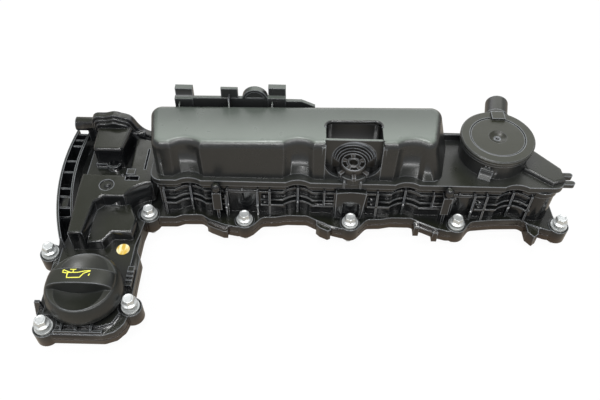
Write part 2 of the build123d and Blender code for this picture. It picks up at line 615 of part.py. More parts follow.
def sleeve(x, y):
    """Steel compression limiter with its ring on top of the boss."""
    body = tube(x, y, 0.3, BOSS_TOP, SLEEVE_R) + tube(x, y, BOSS_TOP, BOSS_TOP + SLEEVE_RING,
                                                        SLEEVE_RING_R)
    return body - tube(x, y, -1, BOSS_TOP + 5, SLEEVE_BORE)


def valve_lid():
    """Snap-on disc with a stepped face, a dimple and a latch tab."""
    base = tube(VALVE_X, VALVE_Y, VALVE_SEAT, VALVE_SEAT + 3.4, VALVE_R)
    base = chamfer(base.edges().sort_by(Axis.Z)[-1], 0.9)
    base -= tube(VALVE_X, VALVE_Y, VALVE_SEAT + 2.4, 90, 22.4)
    base += tube(VALVE_X, VALVE_Y, VALVE_SEAT + 1, VALVE_SEAT + 3.0, 21.6)
    base -= Pos(VALVE_X, VALVE_Y, VALVE_SEAT + 12.0) * Sphere(11.6)
    base += tube(VALVE_X, VALVE_Y, VALVE_SEAT + 0.2, VALVE_SEAT + 2.4, 1.2)
    tab = Pos(VALVE_X, VALVE_Y, 0) * block(-1.5, 19.5, VALVE_SEAT + 1, 9.5, 28.5, VALVE_SEAT + 5.0)
    return base + tab


def valve_diaphragm():
    """Rubber diaphragm: a bead held under the lid, a rolled wall and a middle disc."""
    half = make_face(Polyline((0, 67.6), (16.0, 67.6), (20.5, 69.2), (24.6, 69.4), (24.6, 71.8),
                              (22.4, 71.8), (19.5, 70.4), (15.4, 68.6), (0, 68.6), close=True))
    return Pos(VALVE_X, VALVE_Y, 0) * revolve(Plane.XZ * half, Axis.Z)


def valve_plate():
    """Plate that the diaphragm moves over the seat."""
    return tube(VALVE_X, VALVE_Y, 65.6, 67.6, 15.0) + tube(VALVE_X, VALVE_Y, 64.8, 65.8, 7.4)


def valve_spring():
    """Return spring round the seat."""
    turns, low, high, radius, wire = 3, 55.8, 64.8, 11.4, 0.7
    path = Helix((high - low) / turns, high - low, radius)
    start = Plane(origin=path @ 0, z_dir=path % 0)
    coil = sweep(start * RegularPolygon(wire, 6), path=path, is_frenet=True)
    return Pos(VALVE_X, VALVE_Y, low) * coil


def mount_grommet():
    """Rubber mount of the engine trim: hub with slots, bellows behind it and three feet."""
    hub = tube(0, HUB_Y, 59.6, HUB_Z, 10.4)
    hub -= tube(0, HUB_Y, 59, HUB_Z + 1, 3.4)
    for k in range(6):
        slot = Pos(0, HUB_Y, HUB_Z - 1) * Rot(0, 0, 60 * k + 30) * Pos(7.0, 0, 0) * Box(1.8, 3.6, 4)
        hub -= slot
    hub += tube(0, HUB_Y, 59.6, 62.0, 13.0) - tube(0, HUB_Y, 59, 63, 9.0)
    steps = [(59.6, 16.6), (66.6, 14.4), (71.2, 12.2), (75.8, 9.6), (80.4, 7.0)]
    for (low, radius), (high, inner) in zip(steps, steps[1:]):
        ring = tube(0, HUB_Y, low, high, radius) - tube(0, HUB_Y, low - 1, high + 1, inner - 2.0)
        hub += ring & block(-20, HUB_Y + 1.2, 50, 20, HUB_Y + 18.6, 90)
    hub += block(-12, HUB_Y + 1.2, 61, 12, HUB_Y + 3.2, HUB_Z + 3) - tube(0, HUB_Y, 50, 90, 9.6)
    for angle in (-140, -90, -40):
        hub += Pos(0, HUB_Y, 0) * Rot(0, 0, angle) * block(9.0, -1.6, 59.6, 15.0, 1.6, 62.5)
    return hub


# ---- write every piece ---------------------------------------------------------------------------
pieces = {
    "cover_body": cover_body(),
    "separator_box": separator_box(),
    "baffle_plate": baffle_plate(),
    "cover_gasket": gasket_ring(0.0, 4.2, 0.0),
    "filler_cap": filler_cap(),
    "filler_cap_seal": cap_seal(),
    "valve_lid": valve_lid(),
    "valve_diaphragm": valve_diaphragm(),
    "valve_plate": valve_plate(),
    "valve_spring": valve_spring(),
    "mount_grommet": mount_grommet(),
    "inspection_dot": tube(-182.5, -34.5, DECK, DECK + 0.5, 5.2),
}
for tag, px, py, rise in BOLTS:
    pieces[f"bolt_{tag}"] = bolt(px, py, rise)
    pieces[f"bolt_sleeve_{tag}"] = sleeve(px, py)

boxes = [piece.bounding_box() for piece in pieces.values()]
middle_x = (min(box.min.X for box in boxes) + max(box.max.X for box in boxes)) / 2
middle_y = (min(box.min.Y for box in boxes) + max(box.max.Y for box in boxes)) / 2
bench = Location((-middle_x, -middle_y, GASKET_FACE))
for name, piece in pieces.items():
    export_step(bench * piece, f"parts/{name}.step")
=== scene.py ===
"""Camshaft cover of a four-cylinder diesel engine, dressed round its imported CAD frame.

X runs along the front bolt row, Y to the back, Z up from the bench.  Lengths are metres; the
profiles and grids of new pieces are millimetres from the origin that they are given with.
"""
import math

import bmesh
import bpy
import numpy as np
from mathutils import Matrix, Vector


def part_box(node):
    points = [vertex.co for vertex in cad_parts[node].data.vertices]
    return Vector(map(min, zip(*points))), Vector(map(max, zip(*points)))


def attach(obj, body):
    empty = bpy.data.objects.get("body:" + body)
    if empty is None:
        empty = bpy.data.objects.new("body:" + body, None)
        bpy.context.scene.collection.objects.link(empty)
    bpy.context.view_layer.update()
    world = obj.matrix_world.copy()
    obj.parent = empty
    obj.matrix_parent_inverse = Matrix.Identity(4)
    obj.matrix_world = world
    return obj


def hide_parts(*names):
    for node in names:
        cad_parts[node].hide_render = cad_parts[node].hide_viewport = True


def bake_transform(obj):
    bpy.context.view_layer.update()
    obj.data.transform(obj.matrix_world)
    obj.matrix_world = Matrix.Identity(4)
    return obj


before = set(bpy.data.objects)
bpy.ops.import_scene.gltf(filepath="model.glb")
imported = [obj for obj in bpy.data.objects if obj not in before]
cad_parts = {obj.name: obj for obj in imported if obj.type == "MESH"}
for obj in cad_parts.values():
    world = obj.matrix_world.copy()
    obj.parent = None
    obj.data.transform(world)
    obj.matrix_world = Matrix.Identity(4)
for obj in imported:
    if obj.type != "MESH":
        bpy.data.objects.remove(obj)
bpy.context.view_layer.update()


# ---- cover body ---------------------------------------------------------------------------------
# The lower moulding is glass-filled nylon (PA66-GF30), injection moulded in a spark-eroded tool.
# That gives a glossy black skin with a very fine grain and softly rounded edges.  Its lowest part
# is painted brown: a painted reflection of the warm table below.
def linear(text):
    """An sRGB hex colour as linear RGBA: each channel is undone by the sRGB curve."""
    channel = np.array([int(text[i:i + 2], 16) for i in (1, 3, 5)]) / 255.0
    value = np.where(channel <= 0.04045, channel / 12.92, ((channel + 0.055) / 1.055) ** 2.4)
    return (*value.tolist(), 1.0)


def add(material, kind, settings=None, inputs=None):
    """Add one shader node; an input is a constant, or another node's socket to link."""
    tree = material.node_tree
    node = tree.nodes.new(kind)
    for name, value in (settings or {}).items():
        setattr(node, name, value)
    for name, value in (inputs or {}).items():
        if isinstance(value, bpy.types.NodeSocket):
            tree.links.new(value, node.inputs[name])
        else:
            node.inputs[name].default_value = value
    return node


def welded_copy(node, crease):
    """Copy a CAD node, weld it, make each flat patch one face, and shade smooth up to crease."""
    weld, flat = 0.00001, math.radians(0.4)
    piece = bpy.data.objects.new(node + "_skin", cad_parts[node].data.copy())
    bpy.context.scene.collection.objects.link(piece)
    shape = bmesh.new()
    shape.from_mesh(piece.data)
    bmesh.ops.remove_doubles(shape, verts=shape.verts, dist=weld)
    bmesh.ops.dissolve_limit(shape, angle_limit=flat, verts=shape.verts, edges=shape.edges)
    shape.to_mesh(piece.data)
    shape.free()
    piece.data.shade_smooth()
    piece.data.set_sharp_from_angle(angle=math.radians(crease))
    normals = piece.modifiers.new("even_normals", "WEIGHTED_NORMAL")
    normals.keep_sharp = True
    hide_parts(node)
    return piece


def coat(piece, material):
    """Give a piece this one material."""
    piece.data.materials.clear()
    piece.data.materials.append(material)


def moulded_skin(name, dark, light, top, rough, edge):
    """Glossy moulding: cloudy tint, top tint, painted edge highlights, uneven gloss, tool grain.

    The tint wanders between dark and light, and open faces that look up take the top tint, part
    dust and part painted light.  rough is the mean roughness and edge the rounding of the corners.
    """
    cloud_size, gloss_size, reach, highlight_depth = 0.045, 0.012, 0.014, 0.0009
    grain_size = 0.0009        # The real grain is finer: this is the finest that still shows.
    material = bpy.data.materials.new(name)
    material.use_nodes = True
    material.node_tree.nodes.clear()
    place = add(material, "ShaderNodeTexCoord")
    cloud = add(material, "ShaderNodeTexNoise", None,
                {"Vector": place.outputs["Object"], "Scale": 1 / cloud_size, "Detail": 4.0})
    tint = add(material, "ShaderNodeMix", {"data_type": "RGBA"},
               {"Factor": cloud.outputs["Fac"], 6: linear(dark), 7: linear(light)})

    # Painted light: the top tint, part dust, and the pale grey painted edge highlights both fade
    # where nearby faces close in, as painted shade.
    around = add(material, "ShaderNodeAmbientOcclusion", {"samples": 6}, {"Distance": reach})
    unshaded = add(material, "ShaderNodeMath", {"operation": "POWER"},
                  {0: around.outputs["AO"], 1: 2.0})
    facing = add(material, "ShaderNodeSeparateXYZ", None, {"Vector": place.outputs["Normal"]})
    up = add(material, "ShaderNodeMapRange", {"interpolation_type": "SMOOTHSTEP"},
             {"Value": facing.outputs["Z"], "From Min": 0.75, "From Max": 0.98})
    # Up-facing faces take the top tint: part dust and oil, part painted light from above; it fades
    # in recesses as painted shade.
    top_light_and_dust = add(material, "ShaderNodeMath", {"operation": "MULTIPLY"},
                  {0: up.outputs["Result"], 1: unshaded.outputs["Value"]})
    top_lit_tint = add(material, "ShaderNodeMix", {"data_type": "RGBA"},
                {"Factor": top_light_and_dust.outputs["Value"], 6: tint.outputs[2], 7: linear(top)})
    within = add(material, "ShaderNodeAmbientOcclusion",
                 {"inside": True, "only_local": True, "samples": 6}, {"Distance": highlight_depth})
    edge_highlight_mask = add(material, "ShaderNodeMapRange", None,
               {"Value": within.outputs["AO"], "From Min": 0.92, "From Max": 0.55})
    painted_edge_highlight = add(material, "ShaderNodeMath", {"operation": "MULTIPLY"},
                 {0: edge_highlight_mask.outputs["Result"], 1: unshaded.outputs["Value"]})
    # Pale grey #85898e on convex edges: painted edge highlights.
    tint_with_painted_light = add(material, "ShaderNodeMix", {"data_type": "RGBA"},
                    {"Factor": painted_edge_highlight.outputs["Value"], 6: top_lit_tint.outputs[2],
                     7: linear("#85898e")})

    gloss = add(material, "ShaderNodeTexNoise", None,
                {"Vector": place.outputs["Object"], "Scale": 1 / gloss_size, "Detail": 3.0})
    roughness = add(material, "ShaderNodeMapRange", None,
                    {"Value": gloss.outputs["Fac"], "From Min": 0.3, "From Max": 0.7,
                     "To Min": rough - 0.05, "To Max": rough + 0.06})
    grain = add(material, "ShaderNodeTexNoise", None,
                {"Vector": place.outputs["Object"], "Scale": 1 / grain_size, "Detail": 2.0})
    rounded = add(material, "ShaderNodeBevel", {"samples": 4}, {"Radius": edge})
    skin = add(material, "ShaderNodeBump", None,
               {"Height": grain.outputs["Fac"], "Strength": 0.10, "Distance": 0.0002,
                "Normal": rounded.outputs["Normal"]})
    shader = add(material, "ShaderNodeBsdfPrincipled", None,
                 {"Base Color": tint_with_painted_light.outputs[2], "Roughness": roughness.outputs["Result"],
                  "Normal": skin.outputs["Normal"], "IOR": 1.53})
    add(material, "ShaderNodeOutputMaterial", None, {"Surface": shader.outputs["BSDF"]})
    return material


def nylon_painted_table_reflection():
    """The nylon skin, browner towards its lowest part: a painted reflection of the warm table."""
    reflection_top, reflection_full = 0.024, 0.012
    material = moulded_skin("glass_filled_nylon", "#0e0f11", "#17181a", "#1c1e15", 0.17, 0.0010)
    tree = material.node_tree
    shader = next(n for n in tree.nodes if n.type == "BSDF_PRINCIPLED")
    place = add(material, "ShaderNodeTexCoord")
    spot = add(material, "ShaderNodeSeparateXYZ", None, {"Vector": place.outputs["Object"]})
    low = add(material, "ShaderNodeMapRange", {"interpolation_type": "SMOOTHSTEP"},
              {"Value": spot.outputs["Z"], "From Min": reflection_top, "From Max": reflection_full})
    black = shader.inputs["Base Color"].links[0].from_socket
    # Brown #33271d low on the piece: painted reflection of the table.
    tint = add(material, "ShaderNodeMix", {"data_type": "RGBA"},
               {"Factor": low.outputs["Result"], 6: black, 7: linear("#33271d")})
    tree.links.new(tint.outputs[2], shader.inputs["Base Color"])
    return material


nylon = nylon_painted_table_reflection()
body = welded_copy("cover_body", 32.0)
front_bolt = sum(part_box("bolt_f3"), Vector()) / 2
gasket_face = 0.010            # Height above the bench: body, bolts and drain tubes hang lower.


def set_arch_back(mesh):
    """Depth follows a bent line: the arch's three steps slide back, its rear wall stays."""
    left, right, foot = -0.2265, -0.171, 0.0275
    depth = [0.060, 0.064, 0.0672, 0.0705, 0.0785]
    set_back = [0.060, 0.0705, 0.0726, 0.0748, 0.0785]
    spots = np.empty(len(mesh.vertices) * 3)
    mesh.vertices.foreach_get("co", spots)
    spots = spots.reshape(-1, 3)
    x, y = spots[:, 0] - front_bolt.x, spots[:, 1] - front_bolt.y
    arch = (x > left) & (x < right) & (spots[:, 2] > foot) & (y > depth[0]) & (y < depth[-1])
    spots[arch, 1] += (np.interp(y, depth, set_back) - y)[arch]
    mesh.vertices.foreach_set("co", spots.ravel())


set_arch_back(body.data)
coat(body, nylon)
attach(body, "cover")


def ring_mesh(name, rows, origin):
    """Closed mesh from a grid of rows, each a ring of points; the two end rings are its caps."""
    count, steps = rows.shape[:2]
    row, step = np.meshgrid(np.arange(count - 1), np.arange(steps), indexing="ij")
    after = (step + 1) % steps
    quads = np.stack([row * steps + step, row * steps + after,
                      (row + 1) * steps + after, (row + 1) * steps + step], axis=-1)
    ends = [list(range(steps))[::-1], list(range((count - 1) * steps, count * steps))]
    mesh = bpy.data.meshes.new(name)
    mesh.from_pydata((rows.reshape(-1, 3) / 1000 + origin).tolist(), [],
                     quads.reshape(-1, 4).tolist() + ends)
    shape = bmesh.new()
    shape.from_mesh(mesh)
    bmesh.ops.recalc_face_normals(shape, faces=shape.faces)
    shape.to_mesh(mesh)
    shape.free()
    mesh.shade_smooth()
    mesh.set_sharp_from_angle(angle=math.radians(38))
    return mesh


def new_piece(mesh, material):
    """Put a finished mesh in the scene as a piece of one material."""
    mesh.materials.append(material)
    piece = bpy.data.objects.new(mesh.name, mesh)
    bpy.context.scene.collection.objects.link(piece)
    return piece


def bolt_chute():
    """Dished front over the middle bolt: a parabola across, with a groove where the bolt rises."""
    foot, top, left, back, columns = 17.0, 46.3, -13.0, 9.0, 81
    edge_depth, dish_depth = 4.1, 1.5
    groove_depth, groove_half, groove_top, side_slope, end_slope = 7.6, 6.9, 32.8, 0.6, 1.8
    # The heights of the rows: they lie close together where the groove ends.
    high = np.concatenate([np.linspace(foot, 30.0, 6), np.linspace(30.5, 33.0, 11),
                           np.linspace(35.0, top, 6)])[:, None]
    share = np.linspace(-1.0, 1.0, columns)
    right = np.interp(high, [foot, top], [9.2, 11.7])
    x = (left + right) / 2 + (right - left) / 2 * share
    dish = edge_depth + dish_depth * (1.0 - share ** 2)
    groove = (np.clip((groove_half - np.abs(x)) / side_slope, 0.0, 1.0)
              * np.clip((groove_top - high) / end_slope, 0.0, 1.0))
    rows = np.empty((len(high), columns + 2, 3))
    rows[:, :columns, 0] = x
    rows[:, :columns, 1] = dish + (groove_depth - dish) * groove
    rows[:, columns, 0], rows[:, columns + 1, 0] = right[:, 0], left
    rows[:, columns:, 1] = back
    rows[:, :, 2] = high
    return ring_mesh("bolt_chute", rows, (front_bolt.x, front_bolt.y, gasket_face))


piece = new_piece(bolt_chute(), nylon)
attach(piece, "cover")


# ---- gasket and cap seal ------------------------------------------------------------------------
# Moulded ACM rubber rings, pressed into the grooves of flange and cap: dull black, with the
# faint bloom that oil leaves on it.
def rubber_skin():
    """Dull black rubber, with rounded edges and a tint that wanders."""
    bloom_size = 0.004
    material = bpy.data.materials.new("acm_rubber")
    material.use_nodes = True
    shader = material.node_tree.nodes["Principled BSDF"]
    place = add(material, "ShaderNodeTexCoord")
    bloom = add(material, "ShaderNodeTexNoise", None,
                {"Vector": place.outputs["Object"], "Scale": 1 / bloom_size, "Detail": 5.0})
    tint = add(material, "ShaderNodeMix", {"data_type": "RGBA"},
               {"Factor": bloom.outputs["Fac"], 6: linear("#121213"), 7: linear("#222324")})
    rounded = add(material, "ShaderNodeBevel", {"samples": 4}, {"Radius": 0.0006})
    material.node_tree.links.new(tint.outputs[2], shader.inputs["Base Color"])
    material.node_tree.links.new(rounded.outputs["Normal"], shader.inputs["Normal"])
    shader.inputs["Roughness"].default_value = 0.55
    return material


rubber = rubber_skin()
for node in ("cover_gasket", "filler_cap_seal"):
    coat(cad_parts[node], rubber)


# ---- baffle plate -------------------------------------------------------------------------------
# Plain nylon moulding with two drain tubes, clipped under the separator.  It is only seen from
# below.
coat(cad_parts["baffle_plate"], nylon)


# ---- separator box ------------------------------------------------------------------------------
# The upper moulding, of the same nylon, is welded on the body.  Its flat roof takes a pale
# grey-green film, part dust and handling, part painted reflection of the light behind, paler in
# front.  The recess for the rubber mount is painted near black as painted shade, and is duller.
recess_x = front_bolt.x - 0.001
recess_origin = (recess_x, front_bolt.y, gasket_face)


def nylon_with_painted_light_and_shade():
    """The nylon skin, with a pale film near the roof and a recess painted dark as painted shade.

    The film lies where a face looks straight up, paler in front than behind: part dust, part
    painted reflection.  The recess is two boxes, one behind its front plate and one over its floor.
    """
    patch_size = 0.06
    # The two boxes share one half width; each has a middle and a half size in Y and in Z.
    recess_half = 0.0224
    behind_plate = ((front_bolt.y + 0.03125, 0.00955), (0.0824, 0.0182))
    over_floor = ((front_bolt.y + 0.02845, 0.01235), (0.0668, 0.0033))
    material = moulded_skin("separator_nylon", "#1a1c1d", "#262727", "#22241d", 0.31, 0.0009)
    tree = material.node_tree
    shader = next(n for n in tree.nodes if n.type == "BSDF_PRINCIPLED")
    place = add(material, "ShaderNodeTexCoord")
    normal = add(material, "ShaderNodeSeparateXYZ", None, {"Vector": place.outputs["Normal"]})
    spot = add(material, "ShaderNodeSeparateXYZ", None, {"Vector": place.outputs["Object"]})
    upward = add(material, "ShaderNodeMapRange", {"interpolation_type": "SMOOTHSTEP"},
                 {"Value": normal.outputs["Z"], "From Min": 0.72, "From Max": 0.99})
    high = add(material, "ShaderNodeMapRange", {"interpolation_type": "SMOOTHSTEP"},
               {"Value": spot.outputs["Z"], "From Min": 0.088, "From Max": 0.097})
    dust_and_glare_mask = add(material, "ShaderNodeMath", {"operation": "MULTIPLY"},
               {0: upward.outputs["Result"], 1: high.outputs["Result"]})
    black = shader.inputs["Base Color"].links[0].from_socket
    patch = add(material, "ShaderNodeTexNoise", None,
                {"Vector": place.outputs["Object"], "Scale": 1 / patch_size, "Detail": 3.0})
    depth = add(material, "ShaderNodeMapRange", {"interpolation_type": "SMOOTHSTEP"},
                {"Value": spot.outputs["Y"], "From Min": 0.020, "From Max": 0.058})
    # Pale film, #636a64 to #737a74 in front and #4a504b behind: part dust, part painted reflection
    # of the soft box.
    front = add(material, "ShaderNodeMix", {"data_type": "RGBA"},
                {"Factor": patch.outputs["Fac"], 6: linear("#636a64"), 7: linear("#737a74")})
    dust_and_glare = add(material, "ShaderNodeMix", {"data_type": "RGBA"},
               {"Factor": depth.outputs["Result"], 6: front.outputs[2], 7: linear("#4a504b")})
    tint = add(material, "ShaderNodeMix", {"data_type": "RGBA"},
               {"Factor": dust_and_glare_mask.outputs["Value"], 6: black, 7: dust_and_glare.outputs[2]})
    across = add(material, "ShaderNodeMath", {"operation": "COMPARE"},
                 {0: spot.outputs["X"], 1: recess_x, 2: recess_half})
    boxes = []
    for spans in (behind_plate, over_floor):
        deep, tall = [add(material, "ShaderNodeMath", {"operation": "COMPARE"},
                          {0: spot.outputs[axis], 1: middle, 2: half})
                      for axis, (middle, half) in zip("YZ", spans)]
        boxes.append(add(material, "ShaderNodeMath", {"operation": "MULTIPLY"},
                         {0: deep.outputs["Value"], 1: tall.outputs["Value"]}))
    either = add(material, "ShaderNodeMath", {"operation": "MAXIMUM"},
                 {0: boxes[0].outputs["Value"], 1: boxes[1].outputs["Value"]})
    inside = add(material, "ShaderNodeMath", {"operation": "MULTIPLY"},
                 {0: across.outputs["Value"], 1: either.outputs["Value"]})
    # Near black #060708 inside the two boxes: painted shade in the recess, which is also made
    # duller.
    recess = add(material, "ShaderNodeMix", {"data_type": "RGBA"},
                 {"Factor": inside.outputs["Value"], 6: tint.outputs[2], 7: linear("#060708")})
    smooth = shader.inputs["Roughness"].links[0].from_socket
    dull = add(material, "ShaderNodeMix", {"data_type": "FLOAT"},
               {"Factor": inside.outputs["Value"], 2: smooth, 3: 0.45})
    tree.links.new(dull.outputs[0], shader.inputs["Roughness"])
    tree.links.new(recess.outputs[2], shader.inputs["Base Color"])
    return material


separator = welded_copy("separator_box", 32.0)
box_nylon = nylon_with_painted_light_and_shade()
coat(separator, box_nylon)
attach(separator, "cover")


def recess_lip():
    """Rounded bead: a circle carried along the sides and the back of the opening in the roof."""
    half, side_start, corner, back = 22.0, 33.5, 5.0, 40.5
    bead, outward, sunk = 1.2, 0.5, 0.85
    roof_left, roof_climb, roof_run, box_left = 88.5, 5.0, 228.0, -156.0
    quarter = np.radians(np.linspace(0.0, 90.0, 12))
    x = np.concatenate([[half, half], half - corner + corner * np.cos(quarter)])
    y = np.concatenate([[side_start, side_start + 1.0], back - corner + corner * np.sin(quarter)])
    path = np.column_stack([np.concatenate([x, -x[::-1]]), np.concatenate([y, y[::-1]])])
    along = np.gradient(path, axis=0)
    along /= np.linalg.norm(along, axis=1)[:, None]
    out = np.stack([along[:, 1], -along[:, 0]], axis=1)
    turn = np.linspace(0.0, 2 * np.pi, 20, endpoint=False)
    spread = outward + bead * np.cos(turn)
    plan = path[:, None, :] + out[:, None, :] * spread[None, :, None]
    roof = roof_left + (path[:, 0] - box_left) / roof_run * roof_climb
    level = roof[:, None] - sunk + bead * np.sin(turn)[None, :]
    return ring_mesh("recess_lip", np.concatenate([plan, level[:, :, None]], axis=2),
                     recess_origin)


def recess_corner(name, side):
    """Web in a lower corner of the opening: its top edge is a quarter of an ellipse."""
    half, tall, floor, sunk, overlap, cuts = 21.0, 13.0, 54.0, 0.3, 1.2, 28
    front, back = 13.5, 16.0
    share = np.linspace(0.3, 1.0, cuts)[::side]
    rows = np.empty((cuts, 4, 3))
    rows[:, :, 0] = (side * (half * share + overlap * (share > 0.999)))[:, None]
    rows[:, :, 1] = [front, back, back, front]
    rows[:, :2, 2] = floor - sunk
    rows[:, 2:, 2] = (floor + tall * (1.0 - np.sqrt(1.0 - share ** 2)))[:, None]
    return ring_mesh(name, rows, recess_origin)


for mesh, material in ((recess_lip(), nylon), (recess_corner("recess_corner_right", 1), box_nylon),
                       (recess_corner("recess_corner_left", -1), box_nylon)):
    piece = new_piece(mesh, material)
    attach(piece, "cover")


# ---- breather regulator -------------------------------------------------------------------------
# Snap-on lid of unfilled nylon, a little greener and duller than the box, over a rubber
# diaphragm, its moulded plate and a return spring of bright drawn wire.
lid = welded_copy("valve_lid", 32.0)
coat(lid, moulded_skin("lid_nylon", "#1c1d18", "#23241c", "#24261a", 0.36, 0.0008))
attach(lid, "cover")
coat(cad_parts["valve_plate"],
     moulded_skin("plate_nylon", "#1c1c1c", "#262626", "#262626", 0.4, 0.0005))


def drawn_steel():
    """Bright drawn spring wire: bare metal, a little uneven where the die has marked it."""
    mark_size = 0.001
    material = bpy.data.materials.new("drawn_spring_steel")
    material.use_nodes = True
    shader = material.node_tree.nodes["Principled BSDF"]
    place = add(material, "ShaderNodeTexCoord")
    draw = add(material, "ShaderNodeTexNoise", None,
               {"Vector": place.outputs["Object"], "Scale": 1 / mark_size, "Detail": 2.0})
    tint = add(material, "ShaderNodeMix", {"data_type": "RGBA"},
               {"Factor": draw.outputs["Fac"], 6: linear("#8d8d8c"), 7: linear("#b0b0ae")})
    material.node_tree.links.new(tint.outputs[2], shader.inputs["Base Color"])
    shader.inputs["Metallic"].default_value = 1.0
    shader.inputs["Roughness"].default_value = 0.3
    return material


spring = welded_copy("valve_spring", 50.0)
coat(spring, drawn_steel())
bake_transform(spring)

diaphragm = welded_copy("valve_diaphragm", 32.0)
coat(diaphragm, rubber)
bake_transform(diaphragm)


# ---- sleeves and bolts --------------------------------------------------------------------------
# Cold-headed M6 flange bolts and turned steel sleeves, bright zinc plated: pale blue-white metal
# with a slightly uneven, milky sheen.
def zinc_plate():
    """Bright zinc: metal whose tint and roughness wander together, with rounded edges."""
    cloud_size = 0.003
    material = bpy.data.materials.new("bright_zinc")
    material.use_nodes = True
    shader = material.node_tree.nodes["Principled BSDF"]
    place = add(material, "ShaderNodeTexCoord")
    cloud = add(material, "ShaderNodeTexNoise", None,
                {"Vector": place.outputs["Object"], "Scale": 1 / cloud_size, "Detail": 4.0})
    tint = add(material, "ShaderNodeMix", {"data_type": "RGBA"},
               {"Factor": cloud.outputs["Fac"], 6: linear("#bcc0c0"), 7: linear("#e2e5e5")})
    roughness = add(material, "ShaderNodeMapRange", None,
                    {"Value": cloud.outputs["Fac"], "To Min": 0.28, "To Max": 0.48})
    rounded = add(material, "ShaderNodeBevel", {"samples": 4}, {"Radius": 0.0003})
    material.node_tree.links.new(tint.outputs[2], shader.inputs["Base Color"])
    material.node_tree.links.new(roughness.outputs["Result"], shader.inputs["Roughness"])
    material.node_tree.links.new(rounded.outputs["Normal"], shader.inputs["Normal"])
    shader.inputs["Metallic"].default_value = 0.65
    return material


zinc = zinc_plate()
bolt_tags = [name[len("bolt_"):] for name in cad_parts
             if name.startswith("bolt_") and not name.startswith("bolt_sleeve_")]
for tag in bolt_tags:
    ring = welded_copy("bolt_sleeve_" + tag, 32.0)
    coat(ring, zinc)
    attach(ring, "cover")


def lathe_mesh(name, profile, steps, origin):
    """Lathe grid: x and y are radius times cos and sin of the turn, z is height.

    profile lists pairs of radius and height; each is one number, or one value per turn step.
    """
    turn = np.linspace(0.0, 2 * np.pi, steps, endpoint=False)
    radius = np.array([np.broadcast_to(r, steps) for r, _ in profile])
    height = np.array([np.broadcast_to(z, steps) for _, z in profile])
    rows = np.stack([radius * np.cos(turn), radius * np.sin(turn), height], axis=-1)
    return ring_mesh(name, rows, origin)


def flange_bolt(name, node):
    """Lathe profile of a flange bolt: short thread, waist, flange, chamfered head, dished top.

    The thread's radius is a triangle wave of turn minus height over pitch.  The hexagon's is half
    its width over the cosine of the turn from the nearest flat.
    """
    flat, flange, shank, waist, head = 4.0, 6.0, 3.0, 2.6, 6.2
    pitch, thread_depth, seat_gap, steps = 1.0, 0.3, 0.03, 72
    low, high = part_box(node)
    middle = (low + high) / 2
    top = (high.z - low.z) * 1000
    under = top - head
    turn = np.linspace(0.0, 2 * np.pi, steps, endpoint=False)
    sixth = np.pi / 3
    hexagon = flat / np.cos((turn + sixth / 2) % sixth - sixth / 2)
    profile = [(2.2, 0.0), (2.7, 0.7)]
    for z in np.arange(0.8, 4.1, 0.125):
        phase = (turn / (2 * np.pi) - (low.z * 1000 + z) / pitch) % 1.0
        profile.append((shank - thread_depth * np.abs(2 * phase - 1), z))
    profile += [(shank, 4.2), (waist, 4.6), (waist, under + seat_gap),
                (flange - 0.3, under + seat_gap), (flange, under + 0.3), (flange, under + 1.1),
                (flange - 0.4, under + 1.5), (np.maximum(hexagon + 0.2, 4.4), under + 2.0),
                (hexagon, under + 2.4)]
    profile += [(np.minimum(hexagon, chamfer), top - drop)
                for chamfer, drop in ((4.7, 1.0), (4.4, 0.5), (4.0, 0.1), (3.7, 0.0))]
    profile += [(3.1, top - 0.1), (2.7, top - 0.5), (1.0, top - 0.6)]
    return lathe_mesh(name, profile, steps, (middle.x, middle.y, low.z))


for tag in bolt_tags:
    piece = new_piece(flange_bolt("flange_bolt_" + tag, "bolt_" + tag), zinc)
    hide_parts("bolt_" + tag)
    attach(piece, "bolt_" + tag)


# ---- rubber mount -------------------------------------------------------------------------------
# Moulded rubber mount of the engine trim, pressed into the recess of the box: a spoked hub on
# three feet in front of half a bellows.  Oil and painted light on top, painted edge highlights.
mount_set_back = 0.021
mount_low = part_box("mount_grommet")[0]
mount_origin = (front_bolt.x, front_bolt.y + mount_set_back, mount_low.z)


def mount_hub():
    """Lathe profile whose foot reaches out at three turns and whose top is cut by five windows."""
    outer, foot_reach, face, steps = 10.4, 4.6, 6.0, 240
    foot_turns, foot_half, window_half, ring_middle = (220.0, 270.0, 320.0), 8.0, 22.0, 7.2
    window_depth, hole_radius, hole_depth = 4.4, 3.2, 4.8
    degrees = np.linspace(0.0, 360.0, steps, endpoint=False)
    foot = np.zeros(steps)
    for middle in foot_turns:
        foot = np.maximum(foot, np.clip((foot_half - np.abs(degrees - middle)) / 1.5, 0.0, 1.0))
    profile = [(outer + foot_reach * foot, 0.0), (outer + foot_reach * foot, 2.4),
               (outer + (foot_reach - 0.4) * foot, 2.9), (outer, 3.0), (outer, 5.6),
               (outer - 0.2, 6.1), (outer - 0.6, 6.4)]
    fifth = 360.0 / 5
    share = ((degrees + 90.0) / fifth) % 1.0
    window = np.clip((window_half - fifth * np.minimum(share, 1.0 - share)) / 2.5, 0.0, 1.0)
    for r in np.linspace(9.6, 0.3, 80):
        band = np.clip((1.5 - abs(r - ring_middle)) / 0.4, 0.0, 1.0)
        hole = np.clip((hole_radius - r) / 0.5, 0.0, 1.0)
        rim = 0.8 * np.exp(-((r - 9.3) / 0.45) ** 2) + 0.7 * np.exp(-((r - 4.2) / 0.6) ** 2)
        profile.append((r, face + rim - window_depth * band * window - hole_depth * hole))
    return lathe_mesh("mount_hub", profile, steps, mount_origin)


